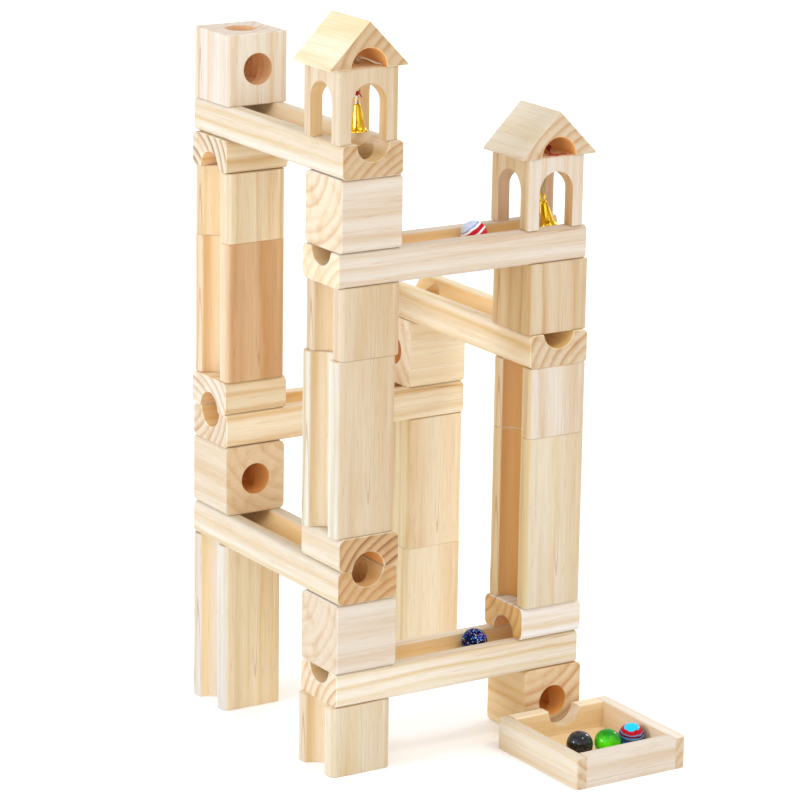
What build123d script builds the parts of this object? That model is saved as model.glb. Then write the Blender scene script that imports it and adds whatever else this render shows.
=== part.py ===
from build123d import *
import os
from math import acos, atan2, cos, hypot, radians, sin, tan

# A wooden marble run. Four towers of loose blocks stand at the corners of a square and carry six
# grooved rails, which go down round the square one storey at a time. At the low end of each rail the
# marble drops through a hole into an elbow cube, and leaves it by the side onto the next rail.
# A bell house stands over the low end of the first two rails, and a tray takes the marbles at the end.
# The origin is under the middle of the whole set, on the floor, with +Z up.

os.makedirs("parts", exist_ok=True)

# Stock, in mm
width = 38.0  # square stock, and the width of the slab stock
slab = 19.0  # thickness of the slab stock: rails and bridge blocks
cube = 40.0  # height of a cube, a short pillar and a bell house
rail_length = 160.0
storey = cube + slab  # from one rail to the next
tall = storey + cube  # a pillar as high as two cubes and a rail
plank_round = 3.0  # planed edges of rails and cubes
pillar_round = 3.5
bridge_round = 4.0
saw_edge = 0.4  # broken edge round a sawn end

# The marble's way
marble_r = 7.5
groove_r = 10.0
lip_r = 1.0  # rounding where a groove meets the face
groove_start = 1.0  # height of the groove's axis over the rail's top, at the high end
groove_end = -0.5  # and at the low end
bore_r = 9.0  # the elbow cubes' two holes
drop_r = 10.0  # the rails' drop holes
bore_step = 0.5  # how much shallower the upright bore is than the floor of the side bore
rest_gap = 0.1  # a marble clears what it rolls on by this much

# Bell houses and roofs
house_width = 37.0
house_round = 1.5
arch_r = 11.0
arch_spring = 21.0  # height where the straight sides of an arch end
thread_hole_r = 1.2
roof_height = 25.5  # the slopes are at 45 degrees, so this is half the roof's width too
roof_depth = 39.0
roof_tip = 0.8  # rounding of the eaves and the ridge

# Bells
bell_height = 15.5
bell_rim_r = 5.2
bell_flare = (4.15, 2.0)  # radius and height half way up the flare
bell_waist = (3.7, 4.2)  # and where the flare ends
bell_shoulder = (2.1, 14.0)  # radius and height where the cap begins
bell_cap = (1.5, 15.05)  # and half way over the cap
bell_wall = 0.6
ring_r = 1.6  # middle of the eyelet's wire
ring_wire = 0.45
thread_r = 0.3
loop_r = 1.1  # bend of the thread under the eyelet
link_gap = 0.15  # between the thread and the eyelet's wire
knot_r = 1.0
top_knot_r = 1.5  # the knot over the house's ceiling
clapper_r = 1.5
pin_r = 0.35

# Tray
tray_width = 74.0
tray_depth = 78.0
tray_height = 18.5
side_wall = 7.0
end_wall = 8.0
tray_floor = 3.5
tray_panel = 3.0
tray_corner = 2.5
tray_edge = 1.2
notch_r = 10.5

# Plan, measured from the front tower's outer corner
pitch = rail_length - width  # between tower centres
tray_left = 104.0
tray_gap = 4.0  # between the tray and the exit cube
front_house_x = 16.3
front_roof_x = 15.6
right_house_x = pitch + width / 2 - 3.3
right_roof_x = pitch + width / 2 - 2.5

# How far a block stands off its tower's centre line, as set down by hand
slips = {
    "front_base_pillar": (-2.5, 0),
    "front_tall_pillar": (-2.0, 0),
    "exit_cube": (2.9, 0),
    "right_bridge_block": (0, -1.0),
    "right_tall_pillar": (0, -2.0),
    "right_short_pillar": (0, -2.0),
    "rail_2": (-1.5, 0),
    "rail_3": (0, -1.5),
    "back_lower_pillar": (1.0, 1.0),
    "back_upper_pillar": (1.0, 1.0),
    "back_elbow_cube": (1.0, 1.0),
    "left_base_pillar": (0, 1.9),
}

east, north, up = Vector(1, 0, 0), Vector(0, 1, 0), Vector(0, 0, 1)
west, south, down = -east, -north, -up

# The frame's origin is the middle of the box round the roof's eaves, the tray and the back blocks.
eaves = roof_height - roof_tip * (1 / tan(radians(22.5)) - 1)
middle_x = (front_roof_x - eaves + tray_left + tray_width) / 2
middle_y = (rail_length + slips["left_base_pillar"][1] - tray_gap - tray_depth) / 2


def spot(x, y, z=0.0):
    """A point given by its plan position from the front tower's outer corner."""
    return Vector(x - middle_x, y - middle_y, z)


near, far = width / 2, width / 2 + pitch
towers = {
    "left": spot(near, far),
    "front": spot(near, near),
    "right": spot(far, near),
    "back": spot(far, far),
}
corners = ["left", "front", "right", "back"]  # in the order that the marble visits them
ways = [south, east, north, west]  # the way that a rail leaves each of those corners


def rail_level(number):
    """Height of the underside of a rail; rail 1 is the top one."""
    return cube + (6 - number) * storey


def stand(label, tower, z):
    """The middle of a block's underside in its tower."""
    dx, dy = slips.get(label, (0, 0))
    return towers[tower] + Vector(dx, dy, z)


def across(centre, along, upper):
    """A plane across a length of stock: its z runs along the grain and its y towards upper."""
    return Plane(origin=centre, x_dir=upper.cross(along), z_dir=along)


def ease_ends(part, along):
    """Break the edges round the two sawn ends."""
    faces = part.faces().sort_by(Axis((0, 0, 0), along))
    chamfer(faces[0].edges() + faces[-1].edges(), saw_edge)


def finish(piece, label):
    piece.part.label = label
    export_step(piece.part, f"parts/{label}.step")


def groove_line(start, along):
    """The plane at a rail's high end whose z runs down the axis of its groove."""
    run = along * rail_length + down * (groove_start - groove_end)
    return Plane(origin=start + up * (slab + groove_start), x_dir=up.cross(along), z_dir=run)


def make_rail(label, start, along):
    line = groove_line(start, along)
    hole = start + along * (rail_length - width / 2)
    with BuildPart() as rail:
        with BuildSketch(across(start + up * (slab / 2), along, up)):
            RectangleRounded(width, slab, plank_round)
        extrude(amount=rail_length)
        with BuildSketch(line.offset(-slab)):
            Circle(groove_r)
        extrude(amount=rail_length + 2 * slab, mode=Mode.SUBTRACT)
        strips = rail.faces().group_by(Axis.Z)[-1]
        lips = [strip.edges().sort_by_distance(line.origin + along * rail_length / 2)[0] for strip in strips]
        fillet(lips, lip_r)
        ease_ends(rail, along)
        with BuildSketch(Plane(origin=hole, z_dir=up)):
            Circle(drop_r)
        extrude(amount=slab, mode=Mode.SUBTRACT)
    finish(rail, label)


def make_elbow_cube(label, base, grain, exit_way):
    """A cube with a bore from its top that meets a bore from the side where the marble leaves."""
    upright = grain == up
    length, side = (cube, width) if upright else (width, cube)
    middle = base + up * (cube / 2)
    with BuildPart() as block:
        with BuildSketch(across(middle - grain * (length / 2), grain, west if upright else up)):
            RectangleRounded(width, side, plank_round / 2 if upright else plank_round)
        extrude(amount=length)
        ease_ends(block, grain)
        with BuildSketch(Plane(origin=base + up * cube, z_dir=down)):
            Circle(bore_r)
        extrude(amount=cube / 2 + bore_r - bore_step, mode=Mode.SUBTRACT)
        with BuildSketch(Plane(origin=middle - exit_way * bore_r, z_dir=exit_way)):
            Circle(bore_r)
        extrude(amount=cube, mode=Mode.SUBTRACT)
    finish(block, label)


def make_pillar(label, base, height, grooved=True):
    """An upright length of square stock; the groove, if it has one, is on its west face."""
    with BuildPart() as pillar:
        with BuildSketch(across(base, up, west)) as section:
            RectangleRounded(width, width, pillar_round)
            if grooved:
                with Locations((0, width / 2)):
                    Circle(groove_r, mode=Mode.SUBTRACT)
                lips = section.vertices().sort_by_distance((0, width / 2))[:2]
                fillet(lips, 2 * lip_r)
        extrude(amount=height)
        ease_ends(pillar, up)
    finish(pillar, label)


def make_bridge(label, base, along):
    """A short length of slab with a half-round tunnel along its underside."""
    with BuildPart() as bridge:
        with BuildSketch(across(base + up * (slab / 2) - along * (cube / 2), along, up)) as section:
            RectangleRounded(width, slab, bridge_round)
            with Locations((0, -slab / 2)):
                Circle(groove_r, mode=Mode.SUBTRACT)
            lips = section.vertices().sort_by_distance((0, -slab / 2))[:2]
            fillet(lips, lip_r)
        extrude(amount=cube)
        ease_ends(bridge, along)
    finish(bridge, label)


def make_house(label, base, thread_x, thread_y):
    """A block cut through both ways by arches, with a small hole in its ceiling for the bell's thread."""
    with BuildPart() as house:
        with BuildSketch(across(base, up, west)):
            RectangleRounded(house_width, house_width, house_round)
        extrude(amount=cube)
        ease_ends(house, up)
        for way in (east, north):
            with BuildSketch(across(base - way * width, way, up)):
                with Locations((0, arch_spring / 2)):
                    Rectangle(2 * arch_r, arch_spring)
                with Locations((0, arch_spring)):
                    Circle(arch_r)
            extrude(amount=2 * width, mode=Mode.SUBTRACT)
        with BuildSketch(Plane(origin=(thread_x, thread_y, base.Z + arch_spring), z_dir=up)):
            Circle(thread_hole_r)
        extrude(amount=cube, mode=Mode.SUBTRACT)
    finish(house, label)


def make_roof(label, base):
    """A gable roof with its ridge north to south and a half-round tunnel under it."""
    with BuildPart() as roof:
        with BuildSketch(across(base - north * (roof_depth / 2), north, up)) as gable:
            with BuildLine():
                Polyline((-roof_height, 0), (roof_height, 0), (0, roof_height), close=True)
            make_face()
            fillet(gable.vertices(), roof_tip)
            Circle(arch_r, mode=Mode.SUBTRACT)
        extrude(amount=roof_depth)
        ease_ends(roof, north)
    finish(roof, label)


def make_bell(name, pivot, link, knot_height, lean, swing_axis):
    """A bell on its thread. pivot is where the thread leaves the ceiling and link is its bend in the
    eyelet; the two strands of the loop meet in a knot at knot_height over the link; lean is the bell's
    angle from upright about swing_axis."""
    thread_way = (pivot - link).normalized()
    thread_plane = Plane(origin=link, x_dir=swing_axis, z_dir=swing_axis.cross(thread_way))
    reach = (pivot - link).length
    # The strands run from the knot and touch the bend's circle where it turns this far past level.
    rise, run = knot_height - loop_r, knot_r / 2
    turn = atan2(rise, run) - acos(loop_r / hypot(rise, run))
    touch_x, touch_y = loop_r * cos(turn), loop_r * (1 + sin(turn))
    with BuildPart() as thread:
        with BuildLine(thread_plane) as loop:
            first = Line((-knot_r / 2, knot_height), (-touch_x, touch_y))
            bend = ThreePointArc(first @ 1, (0, 0), (touch_x, touch_y))
            Line(bend @ 1, (knot_r / 2, knot_height))
        with BuildSketch(Plane(origin=loop.wire() @ 0, z_dir=loop.wire() % 0)):
            Circle(thread_r)
        sweep(path=loop.wire())
        with BuildSketch(Plane(origin=link + thread_way * knot_height, z_dir=thread_way)):
            Circle(thread_r)
        extrude(amount=reach - knot_height)
        with Locations(link + thread_way * knot_height):
            Sphere(knot_r)
    finish(thread, f"{name}_bell_thread")

    bell_up = up.rotate(Axis((0, 0, 0), swing_axis), lean)
    ring_centre = link - bell_up * (ring_r - ring_wire - thread_r - link_gap)
    top = ring_centre - bell_up * (ring_r + ring_wire)
    rim = top - bell_up * bell_height
    stem_length = bell_wall + 2 * ring_wire
    with BuildPart() as eyelet:
        with Locations(Plane(origin=ring_centre, x_dir=bell_up, z_dir=swing_axis)):
            Torus(ring_r, ring_wire)
        with BuildSketch(Plane(origin=top + bell_up * ring_wire, z_dir=-bell_up)):
            Circle(pin_r)
        extrude(amount=ring_wire + stem_length)
    finish(eyelet, f"{name}_bell_eyelet")

    with BuildPart() as shell:
        with BuildSketch(Plane(origin=rim, x_dir=swing_axis, z_dir=swing_axis.cross(bell_up))):
            with BuildLine():
                skirt = Line((bell_rim_r - bell_wall, 0), (bell_rim_r, 0))
                lip = Line(skirt @ 1, (bell_rim_r, bell_wall))
                flare = ThreePointArc(lip @ 1, bell_flare, bell_waist)
                side = Line(flare @ 1, bell_shoulder)
                cap = ThreePointArc(side @ 1, bell_cap, (0, bell_height))
                inner_top = Line(cap @ 1, (0, bell_height - bell_wall))
                inner_shoulder = (bell_shoulder[0] - bell_wall, bell_shoulder[1] - bell_wall / 2)
                inner_waist = (bell_waist[0] - bell_wall, bell_waist[1])
                Polyline(inner_top @ 1, inner_shoulder, inner_waist)
                ThreePointArc(inner_waist, (bell_flare[0] - bell_wall, bell_flare[1]), skirt @ 0)
            make_face()
        revolve(axis=Axis(rim, bell_up))
        with BuildSketch(Plane(origin=top, z_dir=-bell_up)):
            Circle(pin_r)
        extrude(amount=stem_length, both=True, mode=Mode.SUBTRACT)
    finish(shell, f"{name}_bell_shell")

    hang = top - bell_up * (stem_length + pin_r + link_gap)
    ball = rim + bell_up * clapper_r
    with BuildPart() as clapper:
        with BuildSketch(Plane(origin=hang, z_dir=-bell_up)):
            Circle(pin_r)
        extrude(amount=(hang - ball).length)
        with Locations(ball):
            Sphere(clapper_r)
        with Locations(hang):
            Sphere(pin_r)
    finish(clapper, f"{name}_bell_clapper")
    print(name, "thread pivot", pivot, "eyelet", link, "clapper", hang, "rim", rim)


def make_tray_wall(label, low, high, corners_at=(), notch=None):
    """A board from corner low to corner high, rounded along the upright edges nearest corners_at."""
    size = high - low
    with BuildPart() as wall:
        with BuildSketch(Plane(origin=(low + high) / 2 - up * (size.Z / 2), z_dir=up)):
            Rectangle(size.X, size.Y)
        extrude(amount=size.Z)
        for corner in corners_at:
            edge = wall.edges().filter_by(Axis.Z).sort_by_distance(corner)[0]
            fillet(edge, tray_corner)
        top = wall.faces().sort_by(Axis.Z)[-1]
        if corners_at:
            fillet(top.edges(), tray_edge)
        else:
            fillet(top.edges().filter_by(Axis.X), tray_edge)
        if notch:
            with BuildSketch(Plane(origin=notch, z_dir=north)):
                Circle(notch_r)
            extrude(amount=end_wall, both=True, mode=Mode.SUBTRACT)
    finish(wall, label)


def make_marble(label, centre):
    with BuildPart() as marble:
        with Locations(centre):
            Sphere(marble_r)
    finish(marble, label)


# Rails and the elbow cube under each rail's low end, from the top down
elbows = [
    ("front_upper_elbow_cube", east),
    ("right_elbow_cube", up),
    ("back_elbow_cube", east),
    ("left_elbow_cube", north),
    ("front_lower_elbow_cube", east),
    ("exit_cube", north),
]
rail_starts = {}
for number, (elbow, grain) in enumerate(elbows, start=1):
    way = ways[(number - 1) % 4]
    next_way = south if elbow == "exit_cube" else ways[number % 4]
    rail = f"rail_{number}"
    start = stand(rail, corners[(number - 1) % 4], rail_level(number)) - way * near
    rail_starts[number] = start
    make_rail(rail, start, way)
    low_tower = corners[number % 4]
    make_elbow_cube(elbow, stand(elbow, low_tower, rail_level(number) - cube), grain, next_way)
make_elbow_cube("start_cube", stand("start_cube", "left", rail_level(1) + slab), up, south)

# Pillars: name, tower, height of the foot, length
pillars = [
    ("left_base_pillar", "left", 0.0, tall),
    ("left_long_pillar", "left", rail_level(4) + 2 * slab, 2 * cube),
    ("left_short_pillar", "left", rail_level(4) + 2 * slab + 2 * cube, cube),
    ("front_base_pillar", "front", 0.0, cube),
    ("front_tall_pillar", "front", rail_level(5) + 2 * slab, tall),
    ("front_short_pillar", "front", rail_level(2) - cube, cube),
    ("right_tall_pillar", "right", rail_level(6) + 2 * slab, tall),
    ("right_short_pillar", "right", rail_level(3) - cube, cube),
]
for label, tower, z, height in pillars:
    make_pillar(label, stand(label, tower, z), height)
half = rail_level(4) / 2
make_pillar("back_lower_pillar", stand("back_lower_pillar", "back", 0.0), half, grooved=False)
make_pillar("back_upper_pillar", stand("back_upper_pillar", "back", half), half, grooved=False)

# Bridge blocks: each but the top one gives a marble room over the low end of a rail
make_bridge("left_upper_bridge_block", stand("left_upper_bridge_block", "left", rail_level(1) - slab), east)
make_bridge("left_lower_bridge_block", stand("left_lower_bridge_block", "left", rail_level(4) + slab), east)
make_bridge("front_bridge_block", stand("front_bridge_block", "front", rail_level(5) + slab), north)
make_bridge("right_bridge_block", stand("right_bridge_block", "right", rail_level(6) + slab), east)

# Bell houses, roofs and bells. Each bell is caught in mid swing, leaning the way the marble runs.
front_floor = rail_level(1) + slab
right_floor = rail_level(2) + slab
ceiling = arch_spring + arch_r
bells = {
    "front": (spot(front_house_x, near, front_floor), spot(front_roof_x, near, front_floor + cube)),
    "right": (spot(right_house_x, near, right_floor), spot(right_roof_x, near, right_floor + cube)),
}
pivot_drop = 1.0  # how far under the ceiling a thread starts to swing
pivots = {
    "front": spot(19.2, 18.0, front_floor + ceiling - pivot_drop),
    "right": spot(144.0, 18.0, right_floor + ceiling - pivot_drop),
}
links = {"front": spot(19.2, 18.0, front_floor + 21.2), "right": spot(140.4, 18.0, right_floor + 14.8)}
knot_heights = {"front": 3.0, "right": 11.0}
leans = {"front": 7.0, "right": 15.0}
swing_axes = {"front": west, "right": south}
for name, (floor_spot, roof_spot) in bells.items():
    pivot = pivots[name]
    make_house(f"{name}_bell_house", floor_spot, pivot.X, pivot.Y)
    make_roof(f"{name}_roof", roof_spot)
    make_bell(name, pivot, links[name], knot_heights[name], leans[name], swing_axes[name])
    with BuildPart() as knot:
        with BuildSketch(Plane(origin=pivot + up * 2 * thread_r, z_dir=up)):
            Circle(thread_r)
        extrude(amount=roof_spot.Z - pivot.Z)
        with Locations((pivot.X, pivot.Y, roof_spot.Z + top_knot_r)):
            Sphere(top_knot_r)
    finish(knot, f"{name}_bell_knot")

# The tray in front of the exit cube
back_edge = -tray_gap
front_edge = back_edge - tray_depth
right_edge = tray_left + tray_width
inner_left, inner_right = tray_left + side_wall, right_edge - side_wall
inner_front, inner_back = front_edge + end_wall, back_edge - end_wall
make_tray_wall(
    "tray_left_wall",
    spot(tray_left, front_edge),
    spot(inner_left, back_edge, tray_height),
    (spot(tray_left, front_edge), spot(tray_left, back_edge)),
)
make_tray_wall(
    "tray_right_wall",
    spot(inner_right, front_edge),
    spot(right_edge, back_edge, tray_height),
    (spot(right_edge, front_edge), spot(right_edge, back_edge)),
)
make_tray_wall("tray_front_wall", spot(inner_left, front_edge), spot(inner_right, inner_front, tray_height))
notch_x = far + slips["exit_cube"][0]
make_tray_wall(
    "tray_back_wall",
    spot(inner_left, inner_back),
    spot(inner_right, back_edge, tray_height),
    notch=spot(notch_x, back_edge - end_wall / 2, tray_height),
)
panel_x, panel_y = (inner_left + inner_right) / 2, (inner_front + inner_back) / 2
with BuildPart() as tray_base:
    with BuildSketch(Plane(origin=spot(panel_x, panel_y, tray_floor - tray_panel), z_dir=up)):
        Rectangle(inner_right - inner_left, inner_back - inner_front)
    extrude(amount=tray_panel)
finish(tray_base, "tray_base")

# Marbles: two on their way down a rail, three in the tray
drop_in = groove_r - marble_r - rest_gap
for label, number, travel in (("white_swirl_marble", 2, 98.0), ("blue_glitter_marble", 6, 102.5)):
    line = groove_line(rail_starts[number], ways[(number - 1) % 4])
    make_marble(label, line.from_local_coords(Vector(0, -drop_in, travel)))
tray_marbles = {
    "black_marble": (130.5, -47.0),
    "green_marble": (146.0, -52.0),
    "red_blue_marble": (163.0, -51.0),
}
for label, (x, y) in tray_marbles.items():
    make_marble(label, spot(x, y, tray_floor + rest_gap + marble_r))
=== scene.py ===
from math import cos, radians, sin, tau

import bpy
from mathutils import Matrix, Vector


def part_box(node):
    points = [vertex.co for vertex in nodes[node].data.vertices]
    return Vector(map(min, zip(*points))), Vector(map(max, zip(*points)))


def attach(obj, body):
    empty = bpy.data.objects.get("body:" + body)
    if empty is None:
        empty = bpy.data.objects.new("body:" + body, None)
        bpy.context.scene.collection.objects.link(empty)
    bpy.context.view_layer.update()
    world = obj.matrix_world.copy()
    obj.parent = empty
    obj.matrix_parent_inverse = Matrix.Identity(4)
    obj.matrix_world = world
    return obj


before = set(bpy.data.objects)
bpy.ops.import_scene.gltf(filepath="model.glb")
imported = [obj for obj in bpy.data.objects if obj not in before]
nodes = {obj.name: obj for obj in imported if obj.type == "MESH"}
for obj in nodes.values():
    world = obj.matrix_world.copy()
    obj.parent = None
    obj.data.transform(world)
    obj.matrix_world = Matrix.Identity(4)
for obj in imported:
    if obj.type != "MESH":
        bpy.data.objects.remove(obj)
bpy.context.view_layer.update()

# A wooden marble run on a white floor. Every piece of the CAD keeps its shape. Each block gets a pine
# material with its own rings, and the bells, threads and marbles get theirs. The loose ends of the
# threads are added here.

mm = 0.001
up = Vector((0, 0, 1))


def middle(node):
    low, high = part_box(node)
    return (low + high) / 2


def screen(red, green, blue):
    """A colour given by its sRGB screen values, 0 to 255, as the linear colour that a shader takes."""
    def linear(value):
        value /= 255
        return value / 12.92 if value <= 0.04045 else ((value + 0.055) / 1.055) ** 2.4
    return (linear(red), linear(green), linear(blue), 1)


# Shader building

class Shader:
    """A material under construction: each method adds a node and returns its output."""

    def __init__(self, name):
        self.material = bpy.data.materials.new(name)
        self.material.use_nodes = True
        self.tree = self.material.node_tree
        self.surface = self.tree.nodes["Principled BSDF"]

    def connect(self, value, socket):
        if isinstance(value, bpy.types.NodeSocket):
            self.tree.links.new(value, socket)
        else:
            socket.default_value = value

    def node(self, kind, inputs, **settings):
        made = self.tree.nodes.new(kind)
        for key, value in settings.items():
            setattr(made, key, value)
        for key, value in inputs.items():
            self.connect(value, made.inputs[key])
        return made

    def set(self, **values):
        for key, value in values.items():
            self.connect(value, self.surface.inputs[key.replace("_", " ")])

    def place(self):
        """The point in the row frame, at rest."""
        return self.node("ShaderNodeTexCoord", {}).outputs["Object"]

    def facing(self):
        return self.node("ShaderNodeTexCoord", {}).outputs["Normal"]

    def math(self, operation, first, second=0.0, clamp=False):
        made = self.node("ShaderNodeMath", {0: first, 1: second}, operation=operation, use_clamp=clamp)
        return made.outputs[0]

    def vector(self, operation, first, second=(0, 0, 0)):
        made = self.node("ShaderNodeVectorMath", {0: first, 1: second}, operation=operation)
        return made.outputs["Value" if operation in ("LENGTH", "DOT_PRODUCT") else "Vector"]

    def split(self, vector):
        return self.node("ShaderNodeSeparateXYZ", {0: vector}).outputs

    def noise(self, vector, scale=1.0, detail=2.0, roughness=0.5):
        inputs = {"Vector": vector, "Scale": scale, "Detail": detail, "Roughness": roughness}
        return self.node("ShaderNodeTexNoise", inputs).outputs["Fac"]

    def fade(self, value, low, high, first=0.0, last=1.0):
        """A smooth step from first to last as value goes from low to high."""
        inputs = {"Value": value, "From Min": low, "From Max": high, "To Min": first, "To Max": last}
        return self.node("ShaderNodeMapRange", inputs, interpolation_type="SMOOTHSTEP").outputs[0]

    def blend(self, factor, first, second, mode="MIX"):
        inputs = {0: factor, 6: first, 7: second}
        return self.node("ShaderNodeMix", inputs, data_type="RGBA", blend_type=mode).outputs[2]

    def curve(self, value, stops):
        """A value run through straight stretches between (position, level) stops."""
        made = self.node("ShaderNodeValToRGB", {0: value})
        elements = made.color_ramp.elements
        for index, (position, level) in enumerate(stops):
            element = elements[index] if index < 2 else elements.new(position)
            element.position = position
            element.color = (level, level, level, 1)
        return made.outputs["Color"]

    def bump(self, height, depth):
        inputs = {"Height": height, "Distance": depth, "Strength": 1.0}
        self.set(Normal=self.node("ShaderNodeBump", inputs).outputs[0])


# Pine

# Late wood and resin multiply the colour round them by one of these tones.
late_tan = screen(230, 200, 150)
late_rose = screen(226, 188, 148)
late_brown = screen(166, 114, 82)
late_straw = screen(240, 222, 176)
resin_brown = screen(186, 140, 98)

# Painted warm shade: the surfaces cut into a block take on one of these.
bore_painted_shade = screen(242, 170, 80)
groove_painted_shade = screen(238, 192, 112)
shaded_groove = screen(198, 140, 64)

# Early wood, from pale sides to brown sawn ends.
chalk = screen(236, 236, 236)
ivory = screen(244, 230, 202)
oat = screen(230, 222, 208)
wheat = screen(232, 216, 184)
linen = screen(215, 204, 190)
sand = screen(214, 202, 180)
biscuit = screen(206, 188, 160)
honey = screen(224, 196, 150)
amber = screen(214, 178, 136)
apricot = screen(228, 204, 168)
flax = screen(216, 198, 166)
toast = screen(198, 174, 138)
caramel = screen(198, 164, 118)
marigold = screen(222, 184, 120)

# How each block was cut: the grain's direction, where the pith lies from the block's middle across
# the grain (mm, in the order x y z), the ring spacing (mm), how strong the rings are, the tones of its
# sides and of its sawn ends, and the tone of its late wood.
cuts = {
    "start_cube": ("z", (-34, 52), 4.6, 0.45, oat, linen, late_tan),
    "front_upper_elbow_cube": ("x", (24, 27), 7.2, 0.5, linen, flax, late_rose),
    "right_elbow_cube": ("z", (52, 44), 6.4, 0.8, biscuit, ivory, late_tan),
    "back_elbow_cube": ("x", (-70, 30), 8.0, 0.4, ivory, ivory, late_straw),
    "left_elbow_cube": ("y", (26, 32), 7.0, 0.3, biscuit, apricot, late_tan),
    "front_lower_elbow_cube": ("x", (26, 24), 6.4, 0.3, linen, biscuit, late_rose),
    "exit_cube": ("y", (-20, 48), 7.0, 0.85, honey, apricot, late_rose),
    "rail_1": ("y", (34, -42), 4.8, 0.8, sand, toast, late_tan),
    "rail_2": ("x", (-40, -34), 6.0, 0.45, linen, apricot, late_tan),
    "rail_3": ("y", (38, -30), 6.2, 0.9, wheat, biscuit, late_tan),
    "rail_4": ("x", (34, 22), 5.0, 1.0, ivory, biscuit, late_tan),
    "rail_5": ("y", (30, -38), 5.4, 0.9, sand, caramel, late_rose),
    "rail_6": ("x", (-42, -26), 5.4, 0.85, oat, flax, late_straw),
    "left_base_pillar": ("z", (60, -20), 8.0, 0.55, wheat, ivory, late_straw),
    "left_long_pillar": ("z", (30, 74), 7.0, 0.75, amber, ivory, late_tan),
    "left_short_pillar": ("z", (58, 40), 4.6, 0.5, wheat, ivory, late_tan),
    "front_base_pillar": ("z", (-8, 58), 7.0, 0.65, sand, ivory, late_straw),
    "front_tall_pillar": ("z", (-6, 66), 7.6, 0.65, biscuit, ivory, late_tan),
    "front_short_pillar": ("z", (10, 60), 6.8, 0.65, biscuit, ivory, late_tan),
    "right_tall_pillar": ("z", (-40, 60), 6.4, 0.55, sand, ivory, late_straw),
    "right_short_pillar": ("z", (22, 64), 5.0, 0.5, linen, ivory, late_tan),
    "back_lower_pillar": ("z", (-10, 52), 7.6, 0.6, ivory, ivory, late_tan),
    "back_upper_pillar": ("z", (8, 54), 7.0, 0.6, ivory, ivory, late_tan),
    "left_upper_bridge_block": ("x", (24, -20), 5.4, 1.0, wheat, flax, late_brown),
    "left_lower_bridge_block": ("x", (20, -30), 5.2, 0.8, wheat, sand, late_tan),
    "front_bridge_block": ("y", (34, -36), 5.2, 1.0, sand, caramel, late_brown),
    "right_bridge_block": ("x", (30, 18), 6.0, 0.9, chalk, marigold, late_tan),
    "front_bell_house": ("z", (44, 52), 3.8, 0.36, biscuit, ivory, late_tan),
    "right_bell_house": ("z", (-50, 40), 4.6, 0.4, linen, ivory, late_tan),
    "front_roof": ("y", (34, -28), 6.0, 0.7, wheat, toast, late_tan),
    "right_roof": ("y", (30, -38), 5.6, 0.75, sand, biscuit, late_tan),
    "tray_left_wall": ("y", (24, 30), 5.2, 0.6, sand, biscuit, late_tan),
    "tray_right_wall": ("y", (-28, 26), 5.0, 0.46, oat, biscuit, late_tan),
    "tray_front_wall": ("x", (40, -30), 6.2, 0.30, linen, ivory, late_tan),
    "tray_back_wall": ("x", (-30, -36), 5.4, 0.34, ivory, ivory, late_tan),
    "tray_base": ("x", (12, -60), 9.0, 0.30, ivory, ivory, late_straw),
}
# Painted light and shade: these tints set the -X sides of some upright blocks apart from their -Y
# sides.
warm_side_shade = (1.0, 0.9, 0.65, 1)
dim_side_shade = (0.85, 0.8, 0.75, 1)
soft_side_shade = (0.92, 0.92, 0.82, 1)
pale_side_light = (1.05, 1.25, 1.5, 1)
cool_side_light = (0.8, 0.9, 1.2, 1)
west_side_light_and_shade = {
    "start_cube": dim_side_shade,
    "left_short_pillar": dim_side_shade,
    "left_long_pillar": pale_side_light,
    "left_base_pillar": cool_side_light,
    "front_tall_pillar": pale_side_light,
    "right_elbow_cube": warm_side_shade,
    "right_short_pillar": warm_side_shade,
    "right_tall_pillar": warm_side_shade,
    "right_bell_house": warm_side_shade,
    "back_lower_pillar": soft_side_shade,
    "back_upper_pillar": soft_side_shade,
}
# The way each board of the tray faces its inside, where painted warm shade goes.
tray_inward = {
    "tray_left_wall": (1, 0, 0),
    "tray_right_wall": (-1, 0, 0),
    "tray_front_wall": (0, 1, 0),
    "tray_back_wall": (0, -1, 0),
    "tray_base": (0, 0, 1),
}
# How much of a cut surface's colour is the painted warm shade. The first of these words that is in the
# block's name decides.
recess_shade_shares = {
    "right_short_pillar": 0.85,
    "right_tall_pillar": 0.85,
    "pillar": 0.25,
    "rail_1": 0.35,
    "rail": 0.6,
    "house": 0.4,
    "tray": 0.4,
    "start": 0.5,
    "left_upper_bridge": 0.35,
    "left_lower_bridge": 0.35,
}
other_recess_shade_share = 0.8

axis_number = {"x": 0, "y": 1, "z": 2}
axes_across = {"x": ("y", "z"), "y": ("x", "z"), "z": ("x", "y")}

# Slow waves and small ripples bend the rings, and both are drawn out along the grain.
wave_height = 7.0 * mm
ripple_height = 1.4 * mm
wave_across = 0.4
wave_along = 0.16
fibre_along = 0.03
log_spread = 7  # how far apart the blocks' places in the waves are
# How late the wood is along one ring, as (position, level) with the two ends first: half at the last
# ring's edge, low in the early wood, then full in the late wood.
ring_stops = [(0.0, 0.5), (1.0, 0.5), (0.12, 0.04), (0.42, 0.08), (0.7, 0.5), (0.88, 1.0)]
end_boost = 1.3  # rings are this much stronger on sawn ends
near_side = (3.2 * mm, 4.2 * mm)  # a surface this far under a side no longer belongs to it
tunnel_rim = (11.1 * mm, 11.6 * mm)  # just outside the roofs' tunnels
wood_relief = 0.06 * mm
ring_relief = 0.6


def drawn_out(grain, across, along):
    """Factors on x, y and z that stretch a noise along the grain."""
    factors = [across] * 3
    factors[axis_number[grain]] = along
    return tuple(factors)


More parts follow.
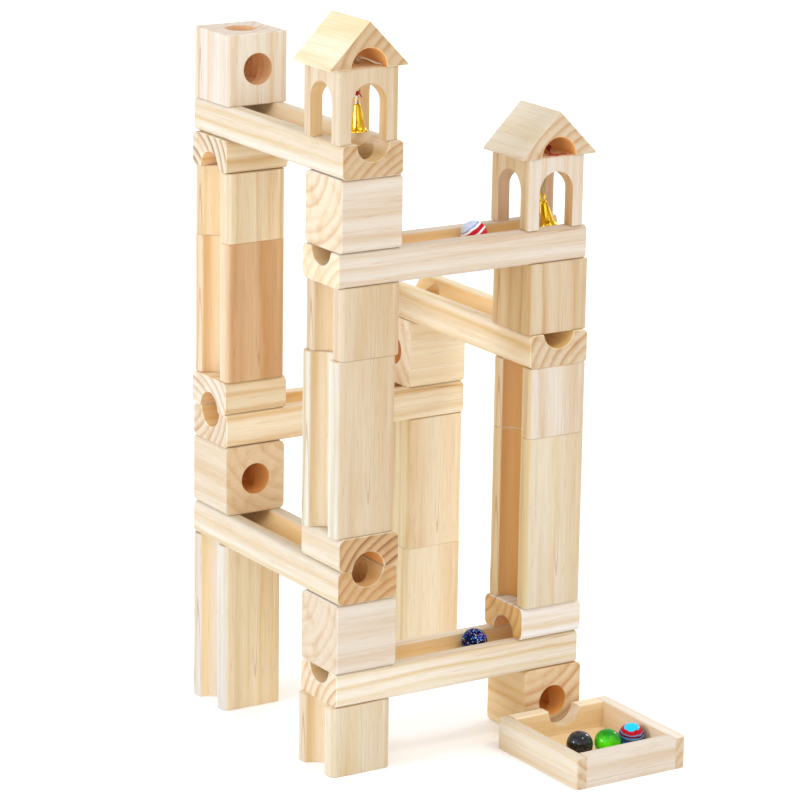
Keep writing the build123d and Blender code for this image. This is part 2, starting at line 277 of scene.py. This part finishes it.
def growth_rings(shader, place, centre, grain, pith, spacing):
    """How late the wood is at each point, from 0 to 1, and the same with some rings fainter."""
    xyz = shader.split(place)
    across_u, across_v = (xyz[axis_number[axis]] for axis in axes_across[grain])
    in_log = shader.vector("ADD", place, centre * log_spread)
    stretched = shader.vector("MULTIPLY", in_log, drawn_out(grain, wave_across, wave_along))
    wave = shader.math("SUBTRACT", shader.noise(stretched, scale=45), 0.5)
    ripple = shader.math("SUBTRACT", shader.noise(stretched, scale=170), 0.5)
    off_u = shader.math("SUBTRACT", across_u, pith[0] * mm)
    off_v = shader.math("SUBTRACT", across_v, pith[1] * mm)
    square_u = shader.math("MULTIPLY", off_u, off_u)
    square_v = shader.math("MULTIPLY", off_v, off_v)
    radius = shader.math("SQRT", shader.math("ADD", square_u, square_v))
    bent = shader.math("ADD", radius, shader.math("MULTIPLY", wave, wave_height))
    bent = shader.math("ADD", bent, shader.math("MULTIPLY", ripple, ripple_height))
    rings = shader.math("DIVIDE", bent, spacing * mm)
    lateness = shader.curve(shader.math("FRACT", rings), ring_stops)
    ring_number = shader.math("FLOOR", rings)
    draw = shader.node("ShaderNodeTexWhiteNoise", {"W": ring_number}, noise_dimensions="1D")
    faintness = shader.fade(draw.outputs["Value"], 0.0, 1.0, 0.35, 1.0)
    return lateness, shader.math("MULTIPLY", lateness, faintness)


def inner_surface(shader, name, place, half):
    """1 on the surfaces cut into a block, 0 on its outer sides; half is half the block's size."""
    if name.endswith("roof"):
        from_tunnel = shader.vector("MULTIPLY", shader.vector("ADD", place, up * half.z), (1, 0, 1))
        return shader.fade(shader.vector("LENGTH", from_tunnel), *tunnel_rim, 1.0, 0.0)
    if name.startswith("tray"):
        return shader.fade(shader.vector("DOT_PRODUCT", shader.facing(), tray_inward[name]), 0.8, 0.95)
    # A surface is inside when it doesn't look out of any side of the block that it is close to.
    xyz = shader.split(place)
    normal = shader.split(shader.facing())
    outward = 0.0
    for axis in range(3):
        depth = shader.math("SUBTRACT", half[axis], shader.math("ABSOLUTE", xyz[axis]))
        outer = shader.math("MULTIPLY", normal[axis], shader.math("SIGN", xyz[axis]))
        outer = shader.math("MULTIPLY", outer, shader.fade(depth, *near_side, 1.0, 0.0))
        outward = shader.math("MAXIMUM", outward, outer)
    return shader.fade(outward, 0.3, 0.6, 1.0, 0.0)


def resin_veins(shader, fibre_place, end, recess_shade):
    """Short dark veins along the grain, in patches, and none on sawn ends or cut surfaces."""
    vein = shader.math("SUBTRACT", shader.noise(fibre_place, scale=90, detail=1), 0.5)
    vein = shader.math("ABSOLUTE", vein)
    resin = shader.fade(vein, 0.002, 0.008, 0.45, 0.0)
    patches = shader.noise(fibre_place, scale=40, detail=1)
    resin = shader.math("MULTIPLY", resin, shader.fade(patches, 0.52, 0.6))
    resin = shader.math("MULTIPLY", resin, shader.fade(end, 0.0, 0.4, 1.0, 0.0))
    return shader.math("MULTIPLY", resin, shader.fade(recess_shade, 0.0, 0.2, 1.0, 0.0))


def recess_shade_share(name):
    """How much of the painted warm shade shows on a block's cut surfaces."""
    return next((share for word, share in recess_shade_shares.items() if word in name), other_recess_shade_share)


def recess_shade_tone(name):
    """The painted warm shade tone of the surfaces cut into a block."""
    grooved = name.startswith(("tray", "rail")) or name.endswith(("pillar", "house"))
    if not grooved:
        return bore_painted_shade
    return shaded_groove if name.startswith("right") else groove_painted_shade


def pine(name, grain, pith, spacing, strength, side_tone, end_tone, late):
    shader = Shader(f"pine_{name}")
    low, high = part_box(name)
    centre = (low + high) / 2
    half = (high - low) / 2
    place = shader.vector("SUBTRACT", shader.place(), centre)
    normal = shader.split(shader.facing())
    lateness, weight = growth_rings(shader, place, centre, grain, pith, spacing)
    end = shader.fade(shader.math("ABSOLUTE", normal[axis_number[grain]]), 0.75, 0.95)
    # How much painted warm shade the surfaces cut into the block get.
    recess_shade = shader.math("MULTIPLY", inner_surface(shader, name, place, half), recess_shade_share(name))

    fibre_place = shader.vector("MULTIPLY", place, drawn_out(grain, 1.0, fibre_along))
    streak = shader.noise(fibre_place, scale=130, detail=3)
    fibre = shader.noise(fibre_place, scale=1500, detail=3, roughness=0.6)
    pores = shader.fade(shader.noise(fibre_place, scale=2600, detail=1), 0.66, 0.76)
    resin = resin_veins(shader, fibre_place, end, recess_shade)

    # Sawn ends are darker than the sides and show the rings more.
    end_strength = min(1.0, strength * end_boost)
    amount = shader.math("MULTIPLY", weight, shader.fade(end, 0.0, 1.0, strength, end_strength))
    side_late = late_straw if late == late_straw or grain == "y" else late_tan
    end_late = late_brown if late == late_brown else late_rose
    colour = shader.blend(end, side_tone, end_tone)
    colour = shader.blend(shader.fade(streak, 0.45, 0.72, 0.0, 0.4), colour, late_tan, "MULTIPLY")
    colour = shader.blend(amount, colour, shader.blend(end, side_late, end_late), "MULTIPLY")
    colour = shader.blend(shader.math("MULTIPLY", pores, 0.3), colour, late_brown, "MULTIPLY")
    colour = shader.blend(resin, colour, resin_brown, "MULTIPLY")
    colour = shader.blend(shader.fade(fibre, 0.3, 0.7, 0.22, 0.0), colour, late_tan, "MULTIPLY")
    # Painted light and shade on the block's -X sides.
    if name in west_side_light_and_shade:
        west = shader.fade(shader.math("MULTIPLY", normal[0], -1), 0.35, 0.8)
        colour = shader.blend(west, colour, west_side_light_and_shade[name], "MULTIPLY")
    # Painted warm shade on the surfaces cut into the block.
    colour = shader.blend(recess_shade, colour, recess_shade_tone(name))
    shader.set(Base_Color=colour, Roughness=shader.fade(fibre, 0.3, 0.7, 0.56, 0.44))
    shader.set(Specular_IOR_Level=0.35)
    shader.bump(shader.math("ADD", fibre, shader.math("MULTIPLY", lateness, ring_relief)), wood_relief)
    return shader.material


def dress(piece, material):
    piece.data.materials.clear()
    piece.data.materials.append(material)


for name, cut in cuts.items():
    dress(nodes[name], pine(name, *cut))


# Other materials

def gold():
    """Gold plate with fine scratches, and amber streaks down the bell that are a painted reflection."""
    shader = Shader("gold_plate")
    place = shader.place()
    cloud = shader.noise(place, scale=260, detail=3)
    scratch = shader.noise(shader.vector("MULTIPLY", place, (1, 1, 6)), scale=900)
    streak = shader.noise(shader.vector("MULTIPLY", place, (1, 1, 0.1)), scale=420, detail=1)
    tone = shader.blend(shader.fade(cloud, 0.35, 0.65), screen(255, 228, 74), screen(250, 210, 54))
    # Painted reflection: dark amber streaks down the bell.
    tone = shader.blend(shader.fade(streak, 0.4, 0.56, 0.7, 0.0), tone, screen(176, 120, 14))
    shader.set(Base_Color=tone, Metallic=1.0, Roughness=shader.fade(scratch, 0.3, 0.7, 0.16, 0.24))
    shader.bump(scratch, 0.01 * mm)
    return shader.material


ply_length = 0.7 * mm  # from one turn of the thread's two plies to the next


def thread(name, light, dark):
    """Two-ply thread: slanted bands of light and dark with fuzz."""
    shader = Shader(name)
    place = shader.place()
    xyz = shader.split(place)
    slant = shader.math("ADD", xyz[2], shader.math("MULTIPLY", shader.math("ADD", xyz[0], xyz[1]), 0.8))
    ply = shader.math("SINE", shader.math("MULTIPLY", slant, tau / ply_length))
    fuzz = shader.noise(place, scale=6000)
    colour = shader.blend(shader.fade(ply, -0.6, 0.8), dark, light)
    colour = shader.blend(shader.fade(fuzz, 0.35, 0.7, 0.3, 0.0), colour, dark)
    shader.set(Base_Color=colour, Roughness=0.85, Sheen_Weight=0.1)
    shader.bump(shader.math("ADD", ply, fuzz), 0.05 * mm)
    return shader.material


def glossy_glass(shader, colour, coat=0.0):
    shader.set(Base_Color=colour, Roughness=0.04, Specular_IOR_Level=0.12)
    shader.set(Coat_Weight=coat, Coat_Roughness=0.02)


stripe_blur = 0.12  # mm, half the width of a stripe's soft edge


def stripe(shader, colour, height, low, high, tint):
    """Tint the colour where the height (metres) lies between low and high (mm)."""
    above = shader.fade(height, (low - stripe_blur) * mm, (low + stripe_blur) * mm)
    below = shader.fade(height, (high - stripe_blur) * mm, (high + stripe_blur) * mm, 1.0, 0.0)
    return shader.blend(shader.math("MULTIPLY", above, below), colour, screen(*tint))


def banded(name, node, pole, jag_scale, jag, core, stripes):
    """Opaque glass with bands round a pole; stripes are (low, high, colour) along it, in mm."""
    shader = Shader(name)
    place = shader.vector("SUBTRACT", shader.place(), middle(node))
    along = shader.vector("DOT_PRODUCT", place, Vector(pole).normalized())
    wobble = shader.math("SUBTRACT", shader.noise(place, scale=jag_scale), 0.5)
    height = shader.math("ADD", along, shader.math("MULTIPLY", wobble, jag * mm))
    cloud = shader.noise(place, scale=330)
    colour = shader.blend(shader.fade(cloud, 0.35, 0.65), screen(*core[0]), screen(*core[1]))
    for low, high, tint in stripes:
        colour = stripe(shader, colour, height, low, high, tint)
    glossy_glass(shader, colour)
    return shader.material


# Glitter flecks: the pattern's cells per metre, a fleck's size within its cell, and its colour.
flecks = [
    (620, 0.34, (40, 70, 235)),
    (840, 0.3, (70, 200, 235)),
    (760, 0.26, (140, 80, 210)),
    (1000, 0.3, (250, 252, 255)),
]


def blue_glitter():
    """Dark blue glass full of flecks of four colours."""
    shader = Shader("blue_glitter_glass")
    place = shader.place()
    cloud = shader.noise(place, scale=300)
    colour = shader.blend(shader.fade(cloud, 0.4, 0.7), screen(3, 4, 34), screen(14, 16, 110))
    for scale, size, tint in flecks:
        cells = shader.node("ShaderNodeTexVoronoi", {"Vector": place, "Scale": scale})
        fleck = shader.fade(cells.outputs["Distance"], size * 0.8, size, 1.0, 0.0)
        chosen = shader.fade(shader.noise(place, scale=scale * 0.5, detail=0), 0.5, 0.53)
        colour = shader.blend(shader.math("MULTIPLY", fleck, chosen), colour, screen(*tint))
    glossy_glass(shader, colour)
    return shader.material


def black_glass():
    """Black glass with faint grey strands under a clear surface."""
    shader = Shader("black_glass")
    cloud = shader.noise(shader.vector("MULTIPLY", shader.place(), (1, 1, 3)), scale=240, detail=3)
    strands = shader.blend(shader.fade(cloud, 0.45, 0.75), screen(16, 17, 20), screen(58, 60, 66))
    glossy_glass(shader, strands, coat=0.6)
    return shader.material


def green_glass():
    """Clear green glass, cloudier in places, with painted light making it brighter towards one side."""
    shader = Shader("green_glass")
    cloud = shader.noise(shader.place(), scale=200)
    place = shader.vector("SUBTRACT", shader.place(), middle("green_marble"))
    # Painted light: the glass is brighter towards this side, for light passing through it.
    painted_light_side = Vector((-0.5, -0.2, -0.8)).normalized()
    along = shader.vector("DOT_PRODUCT", place, painted_light_side)
    along = shader.math("ADD", along, shader.math("MULTIPLY", cloud, 9 * mm))
    colour = shader.blend(shader.fade(along, 0.0, 8 * mm), screen(8, 146, 2), screen(96, 236, 20))
    clear = shader.fade(cloud, 0.3, 0.7, 0.25, 0.1)
    shader.set(Base_Color=colour, Roughness=0.0, Transmission_Weight=clear)
    shader.set(IOR=1.5, Specular_IOR_Level=0.25)
    return shader.material


gold_plate = gold()
pale_thread = thread("pale_thread", screen(250, 248, 238), screen(214, 208, 186))
olive_thread = thread("olive_thread", screen(216, 192, 128), screen(164, 140, 78))
red_thread = thread("red_thread", screen(206, 16, 16), screen(140, 8, 10))
white_swirl_bands = [
    (-4.9, -4.5, (120, 130, 180)),
    (-3.9, -3.0, (250, 250, 252)),
    (-3.0, -0.7, (200, 20, 42)),
    (-0.7, 0.5, (250, 250, 252)),
    (0.5, 4.6, (214, 34, 54)),
    (4.6, 9.0, (236, 246, 240)),
]
white_swirl = banded(
    "white_swirl_glass", "white_swirl_marble", pole=(0.5, -0.32, -0.8), jag_scale=150, jag=1.6,
    core=((190, 204, 240), (214, 224, 246)), stripes=white_swirl_bands,
)
red_blue_bands = [
    (0.8, 1.7, (84, 14, 50)),
    (1.7, 2.7, (70, 156, 212)),
    (2.7, 3.7, (124, 14, 44)),
    (3.7, 4.3, (110, 146, 196)),
    (4.3, 6.1, (190, 12, 30)),
    (6.1, 9.0, (30, 200, 244)),
]
red_blue = banded(
    "red_blue_glass", "red_blue_marble", pole=(-0.12, -0.2, 1.0), jag_scale=420, jag=1.5,
    core=((24, 96, 176), (40, 130, 206)), stripes=red_blue_bands,
)
marble_glass = {
    "white_swirl_marble": white_swirl,
    "blue_glitter_marble": blue_glitter(),
    "black_marble": black_glass(),
    "green_marble": green_glass(),
    "red_blue_marble": red_blue,
}
for name, material in marble_glass.items():
    dress(nodes[name], material)
for house in ("front", "right"):
    for piece in ("shell", "eyelet", "clapper"):
        dress(nodes[f"{house}_bell_{piece}"], gold_plate)
dress(nodes["front_bell_thread"], pale_thread)
dress(nodes["front_bell_knot"], pale_thread)
dress(nodes["right_bell_thread"], olive_thread)
dress(nodes["right_bell_knot"], red_thread)


# Thread ends that the CAD leaves out. Each is a smooth line of thread through points given in mm from a
# spot, and moves with the body that it is tied to.

def thread_end(name, body, spot, points, radius, material):
    curve = bpy.data.curves.new(name, "CURVE")
    curve.dimensions = "3D"
    curve.bevel_depth = radius * mm
    curve.bevel_resolution = 3
    curve.resolution_u = 8
    curve.use_fill_caps = True
    line = curve.splines.new("NURBS")
    line.points.add(len(points) - 1)
    line.use_endpoint_u = True
    line.order_u = 3
    for point, offset in zip(line.points, points):
        point.co = (*(spot + Vector(offset) * mm), 1)
    shape = bpy.data.objects.new(f"{name}_line", curve)
    bpy.context.scene.collection.objects.link(shape)
    bpy.context.view_layer.update()
    mesh = bpy.data.meshes.new_from_object(shape.evaluated_get(bpy.context.evaluated_depsgraph_get()))
    bpy.data.objects.remove(shape)
    piece = bpy.data.objects.new(name, mesh)
    bpy.context.scene.collection.objects.link(piece)
    for face in mesh.polygons:
        face.use_smooth = True
    dress(piece, material)
    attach(piece, body)


fine_thread = 0.32  # radii in mm
bow_thread = 0.34
bow_loop_thread = 0.4
hanging_thread = 0.6

bow = middle("front_bell_thread") + Vector((-0.9, 0, 0)) * mm
bow.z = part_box("front_bell_eyelet")[1].z + 0.9 * mm
thread_end(
    "front_bow_end_low", "front_thread", bow,
    [(0.2, -0.9, 0.3), (0.8, -1.4, 0.8), (1.8, -1.8, 0.2), (2.1, -2.0, -1.0), (2.9, -2.0, -1.7)],
    bow_thread, red_thread,
)
thread_end(
    "front_bow_end_high", "front_thread", bow,
    [(-0.2, -0.9, -0.2), (0.4, -1.6, 0.6), (1.1, -1.8, 1.2), (1.9, -1.8, 1.9)],
    bow_thread, red_thread,
)
thread_end(
    "front_bow_loop", "front_thread", bow,
    [(0.4, -1.2, -0.4), (-0.5, -1.5, 0.6), (0.0, -1.7, 1.5), (0.9, -1.8, 0.9), (0.8, -1.7, -0.3),
     (0.1, -1.5, -0.7), (-0.6, -1.3, 0.1)],
    bow_loop_thread, red_thread,
)
for side, reach in (("west", -1.0), ("east", 1.0)):
    thread_end(
        f"front_loop_{side}", "front_thread", bow,
        [(0.9 + 0.1 * reach, -0.9, -0.4), (0.9 + 0.6 * reach, -1.0, -2.2),
         (0.9 + 1.0 * reach, -1.1, -4.6), (0.9 + 0.9 * reach, -0.9, -5.8)],
        hanging_thread, pale_thread,
    )

front_tail = middle("front_bell_knot")
front_tail.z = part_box("front_bell_house")[1].z
thread_end(
    "front_tail_long", "front_house", front_tail,
    [(0.5, -1.2, 1.6), (1.0, -4.5, 3.4), (2.4, -8.0, 2.8), (4.6, -11.5, 1.6), (7.0, -14.2, 0.6)],
    fine_thread, pale_thread,
)
thread_end(
    "front_tail_short", "front_house", front_tail,
    [(-0.6, -1.2, 1.8), (-2.6, -4.2, 4.4), (-1.0, -7.6, 4.2), (2.0, -10.0, 2.6), (5.0, -12.0, 0.7)],
    fine_thread, pale_thread,
)

right_tail = middle("right_bell_knot")
right_tail.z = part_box("right_bell_house")[1].z
thread_end(
    "right_tail_long", "right_house", right_tail,
    [(-0.8, -1.2, 1.6), (-4.0, -4.2, 3.6), (-8.6, -8.4, 3.2), (-10.4, -12.6, 1.2), (-6.4, -14.6, 0.6),
     (-2.0, -14.0, 0.6), (1.6, -15.0, 0.6)],
    bow_thread, red_thread,
)
thread_end(
    "right_tail_short", "right_house", right_tail,
    [(0.8, -1.2, 1.6), (-1.4, -5.0, 3.0), (-6.2, -9.2, 2.0), (-8.2, -13.4, 0.6), (-4.6, -15.4, 0.6)],
    bow_thread, red_thread,
)


# Floor, light and camera

def floor_material():
    shader = Shader("white_floor")
    cloud = shader.noise(shader.place(), scale=3)
    colour = shader.blend(cloud, screen(254, 254, 254), screen(251, 251, 251))
    shader.set(Base_Color=colour, Roughness=0.6)
    shader.set(Emission_Color=(1, 1, 1, 1), Emission_Strength=0.1)
    return shader.material


floor_reach = 12.0
floor_mesh = bpy.data.meshes.new("floor")
signs = [(-1, -1), (1, -1), (1, 1), (-1, 1)]
corners = [(x * floor_reach, y * floor_reach, 0) for x, y in signs]
floor_mesh.from_pydata(corners, [], [(0, 1, 2, 3)])
floor = bpy.data.objects.new("floor", floor_mesh)
bpy.context.scene.collection.objects.link(floor)
dress(floor, floor_material())

world = bpy.data.worlds.new("studio")
world.use_nodes = True
sky = world.node_tree.nodes["Background"]
sky.inputs["Color"].default_value = (1.0, 1.0, 1.0, 1)
sky.inputs["Strength"].default_value = 1.0
bpy.context.scene.world = world
bpy.context.scene.view_settings.view_transform = "Standard"

target = Vector((0.00088, 0.03455, 0.1868))  # what the lamps and the camera point at


def aim(name, lamp, place):
    """Hang a lamp at the place, turned to the target."""
    holder = bpy.data.objects.new(name, lamp)
    holder.location = place
    holder.rotation_euler = (target - Vector(place)).to_track_quat("-Z", "Y").to_euler()
    bpy.context.scene.collection.objects.link(holder)


def softbox(name, place, size, power, colour=(1, 1, 1)):
    lamp = bpy.data.lights.new(name, "AREA")
    lamp.shape = "DISK"
    lamp.color = colour
    lamp.size = size
    lamp.energy = power
    aim(name, lamp, place)


def panel(name, place, width, height, power):
    """A rectangular lamp, for the highlights on the bells and the marbles."""
    lamp = bpy.data.lights.new(name, "AREA")
    lamp.shape = "RECTANGLE"
    lamp.size = width
    lamp.size_y = height
    lamp.energy = power
    aim(name, lamp, place)


softbox("key_light", (-2.7, 0.25, 0.95), size=1.1, power=34, colour=(0.76, 0.97, 1.4))
softbox("top_light", (0.5, -1.2, 2.5), size=0.5, power=11)
panel("strip_light", (-1.62, -1.75, 0.5), width=0.08, height=1.0, power=4.5)
panel("window_light", (2.2, 0.6, 1.25), width=0.4, height=0.6, power=9)

camera_place = Vector((-1.1085, -1.70965, 0.7455))
camera_roll = radians(0.916)
image_width = 800  # pixels
lens_pixels = 3789.1  # focal length in those pixels
sensor = 36.0  # mm
forward = (target - camera_place).normalized()
level_right = forward.cross(up).normalized()
level_up = level_right.cross(forward)
right = cos(camera_roll) * level_right + sin(camera_roll) * level_up
top = cos(camera_roll) * level_up - sin(camera_roll) * level_right
camera_data = bpy.data.cameras.new("camera")
camera_data.sensor_width = sensor
camera_data.lens = sensor * lens_pixels / image_width
camera_data.clip_start = 0.01
camera_data.clip_end = 100
camera = bpy.data.objects.new("camera", camera_data)
turn = Matrix((right, top, -forward)).transposed().to_4x4()
camera.matrix_world = Matrix.Translation(camera_place) @ turn
bpy.context.scene.collection.objects.link(camera)
bpy.context.scene.camera = camera
